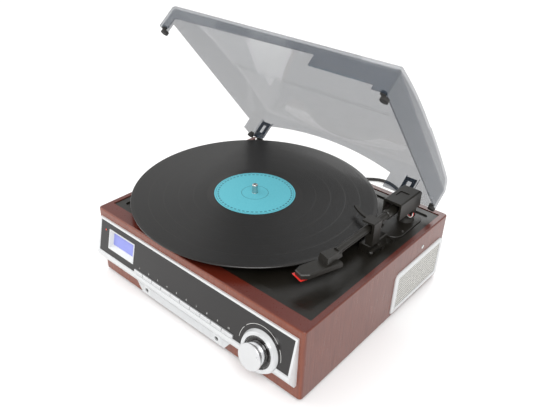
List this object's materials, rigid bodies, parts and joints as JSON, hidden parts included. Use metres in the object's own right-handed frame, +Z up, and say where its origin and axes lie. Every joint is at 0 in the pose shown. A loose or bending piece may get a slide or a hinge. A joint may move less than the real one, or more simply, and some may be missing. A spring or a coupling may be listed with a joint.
{
  "type": "record player",
  "caption": "Veneered record player: belt-driven platter with a record, pivoted tonearm with lift, station keys, display, volume knob, side loudspeakers and a hinged clear dust cover",
  "frame": {"origin": "on the table under the middle of the cabinet, in the plane of the feet", "axes": "+X to the right along the front, -Y out of the front, +Z up"},
  "size_m": [0.4272, 0.4775, 0.3117],
  "materials": {
    "arm_lifter": "plain",
    "arm_rest": "plain",
    "arm_sleeve": "plain",
    "arm_tube": "plain",
    "bearing_bush": "plain",
    "cabinet_base": "board",
    "cabinet_rear": "board",
    "cabinet_wrap": "reddish foil veneer with a faint grain",
    "cartridge": "plain",
    "cleats": "board",
    "cue_lever": "plain",
    "deck": "plain",
    "dial_ring": "plain",
    "dial_scale": "plain",
    "display_frame": "plain",
    "display_screen": "lavender blue liquid crystal",
    "drive_belt": "plain",
    "face_panel": "plain",
    "feet": "plain",
    "front_bezel": "silver paint",
    "grille_meshes": "fine silver mesh",
    "grilles": "silver paint",
    "headshell": "plain",
    "hinge_blades": "plain",
    "hinge_brackets": "plain",
    "jacks": "plain",
    "key_1": "silver",
    "key_10": "silver",
    "key_2": "silver",
    "key_3": "silver",
    "key_4": "silver",
    "key_5": "silver",
    "key_6": "silver",
    "key_7": "silver",
    "key_8": "silver",
    "key_9": "silver",
    "key_board": "plain",
    "knob_body": "plain",
    "knob_cap": "satin",
    "lid": "smoked clear acrylic",
    "lid_bumpers": "plain",
    "motor": "plain",
    "motor_bracket": "plain",
    "motor_pulley": "plain",
    "pivot_hood": "plain",
    "pivot_turret": "plain",
    "platter": "plain",
    "platter_mat": "plain",
    "plug": "plain",
    "power_cord": "plain",
    "power_cord_coil": "plain",
    "record": "grooved vinyl",
    "record_label": "cyan print",
    "speakers": "plain",
    "speed_switch": "plain",
    "spindle": "plain",
    "stop_switch": "plain",
    "strain_relief": "plain",
    "stylus": "plain",
    "tonearm_base": "plain"
  },
  "bodies": {
    "base": {"cabinet_wrap": "cabinet_wrap", "cabinet_rear": "cabinet_rear", "cabinet_base": "cabinet_base", "feet": "feet", "cleats": "cleats", "deck": "deck", "bearing_bush": "bearing_bush", "motor": "motor", "motor_bracket": "motor_bracket", "drive_belt": "drive_belt", "tonearm_base": "tonearm_base", "arm_rest": "arm_rest", "front_bezel": "front_bezel", "face_panel": "face_panel", "display_frame": "display_frame", "display_screen": "display_screen", "dial_ring": "dial_ring", "dial_scale": "dial_scale", "key_board": "key_board", "jacks": "jacks", "grilles": "grilles", "grille_meshes": "grille_meshes", "speakers": "speakers", "hinge_brackets": "hinge_brackets", "strain_relief": "strain_relief", "power_cord": "power_cord", "power_cord_coil": "power_cord_coil", "plug": "plug"},
    "turntable": {"platter": "platter", "platter_mat": "platter_mat", "spindle": "spindle", "record": "record", "record_label": "record_label"},
    "motor_rotor": {"motor_pulley": "motor_pulley"},
    "arm_swivel": {"pivot_turret": "pivot_turret", "pivot_hood": "pivot_hood"},
    "arm": {"arm_sleeve": "arm_sleeve", "arm_tube": "arm_tube", "headshell": "headshell", "cartridge": "cartridge", "stylus": "stylus"},
    "lifter": {"arm_lifter": "arm_lifter"},
    "lever": {"cue_lever": "cue_lever"},
    "speed_slider": {"speed_switch": "speed_switch"},
    "stop_slider": {"stop_switch": "stop_switch"},
    "knob": {"knob_body": "knob_body", "knob_cap": "knob_cap"},
    "cover": {"lid": "lid", "lid_bumpers": "lid_bumpers", "hinge_blades": "hinge_blades"},
    "key_1_body": {"key_1": "key_1"},
    "key_2_body": {"key_2": "key_2"},
    "key_3_body": {"key_3": "key_3"},
    "key_4_body": {"key_4": "key_4"},
    "key_5_body": {"key_5": "key_5"},
    "key_6_body": {"key_6": "key_6"},
    "key_7_body": {"key_7": "key_7"},
    "key_8_body": {"key_8": "key_8"},
    "key_9_body": {"key_9": "key_9"},
    "key_10_body": {"key_10": "key_10"}
  },
  "joints": [
    {"name": "platter_spin", "type": "hinge", "parent": "base", "child": "turntable", "pos_m": [-0.031, 0, 0.1], "axis": [0, 0, -1], "continuous": true},
    {"name": "motor_spin", "type": "hinge", "parent": "base", "child": "motor_rotor", "pos_m": [-0.09146, -0.06046, 0.09], "axis": [0, 0, -1], "continuous": true},
    {"name": "arm_swing", "type": "hinge", "parent": "base", "child": "arm_swivel", "pos_m": [0.126, 0.097, 0.1215], "axis": [0, 0, -1], "range_deg": [0, 37]},
    {"name": "arm_tilt", "type": "hinge", "parent": "arm_swivel", "child": "arm", "pos_m": [0.126, 0.097, 0.1215], "axis": [-1, 0, 0], "range_deg": [0, 1.7]},
    {"name": "lift_slide", "type": "slide", "parent": "base", "child": "lifter", "axis": [0, 0, 1], "range_m": [0, 0.0019]},
    {"name": "cue_turn", "type": "hinge", "parent": "base", "child": "lever", "pos_m": [0.137, 0.021, 0.0982], "axis": [-1, 0, 0], "range_deg": [0, 40]},
    {"name": "speed_slide", "type": "slide", "parent": "base", "child": "speed_slider", "axis": [0, -1, 0], "range_m": [0, 0.006]},
    {"name": "stop_slide", "type": "slide", "parent": "base", "child": "stop_slider", "axis": [0, 1, 0], "range_m": [0, 0.003]},
    {"name": "knob_turn", "type": "hinge", "parent": "base", "child": "knob", "pos_m": [0.1135, -0.15973, 0.04979], "axis": [0, -0.9759, 0.2181], "range_deg": [-70, 200]},
    {"name": "lid_turn", "type": "hinge", "parent": "base", "child": "cover", "pos_m": [0, 0.1286, 0.097], "axis": [1, 0, 0], "range_deg": [0, 50.5]},
    {"name": "key_1_press", "type": "slide", "parent": "base", "child": "key_1_body", "axis": [0, 0.9759, -0.2181], "range_m": [0, 0.0012], "stiffness_N_per_m": 200},
    {"name": "key_2_press", "type": "slide", "parent": "base", "child": "key_2_body", "axis": [0, 0.9759, -0.2181], "range_m": [0, 0.0012], "stiffness_N_per_m": 200},
    {"name": "key_3_press", "type": "slide", "parent": "base", "child": "key_3_body", "axis": [0, 0.9759, -0.2181], "range_m": [0, 0.0012], "stiffness_N_per_m": 200},
    {"name": "key_4_press", "type": "slide", "parent": "base", "child": "key_4_body", "axis": [0, 0.9759, -0.2181], "range_m": [0, 0.0012], "stiffness_N_per_m": 200},
    {"name": "key_5_press", "type": "slide", "parent": "base", "child": "key_5_body", "axis": [0, 0.9759, -0.2181], "range_m": [0, 0.0012], "stiffness_N_per_m": 200},
    {"name": "key_6_press", "type": "slide", "parent": "base", "child": "key_6_body", "axis": [0, 0.9759, -0.2181], "range_m": [0, 0.0012], "stiffness_N_per_m": 200},
    {"name": "key_7_press", "type": "slide", "parent": "base", "child": "key_7_body", "axis": [0, 0.9759, -0.2181], "range_m": [0, 0.0012], "stiffness_N_per_m": 200},
    {"name": "key_8_press", "type": "slide", "parent": "base", "child": "key_8_body", "axis": [0, 0.9759, -0.2181], "range_m": [0, 0.0012], "stiffness_N_per_m": 200},
    {"name": "key_9_press", "type": "slide", "parent": "base", "child": "key_9_body", "axis": [0, 0.9759, -0.2181], "range_m": [0, 0.0012], "stiffness_N_per_m": 200},
    {"name": "key_10_press", "type": "slide", "parent": "base", "child": "key_10_body", "axis": [0, 0.9759, -0.2181], "range_m": [0, 0.0012], "stiffness_N_per_m": 200}
  ],
  "couplings": [
    {"joint": "motor_spin", "follows": "platter_spin", "ratio": 15},
    {"joint": "lift_slide", "follows": "arm_tilt", "m_per_rad": 0.064},
    {"joint": "cue_turn", "follows": "arm_tilt", "ratio": 23.52}
  ]
}
